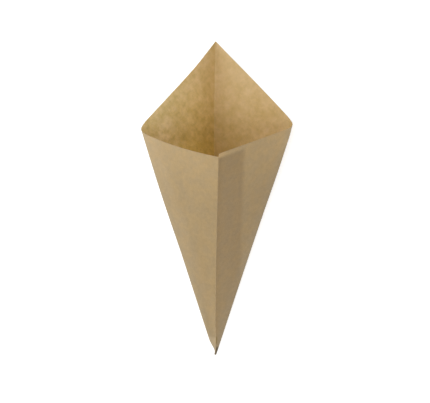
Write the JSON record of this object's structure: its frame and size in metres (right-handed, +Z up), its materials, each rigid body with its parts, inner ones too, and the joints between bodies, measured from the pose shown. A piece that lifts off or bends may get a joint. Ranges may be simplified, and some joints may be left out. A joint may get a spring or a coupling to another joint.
{
  "type": "french fry bag",
  "caption": "Pointed kraft paper bag for fries, folded from a square sheet with a glued lap down its front, opened at the mouth and lying on a flat side.",
  "frame": {"origin": "centre of the bounding box, on the floor under the bag", "axes": "+Z up from the flat back right panel that the bag lies on, +Y along the floor from the closed tip to the open mouth, +X to the side of the glued lap"},
  "size_m": [0.1024, 0.2478, 0.0738],
  "materials": {
    "kraft_paper": "matte brown kraft paper"
  },
  "bodies": {
    "root": {"fry_bag": "kraft_paper"}
  },
  "joints": []
}
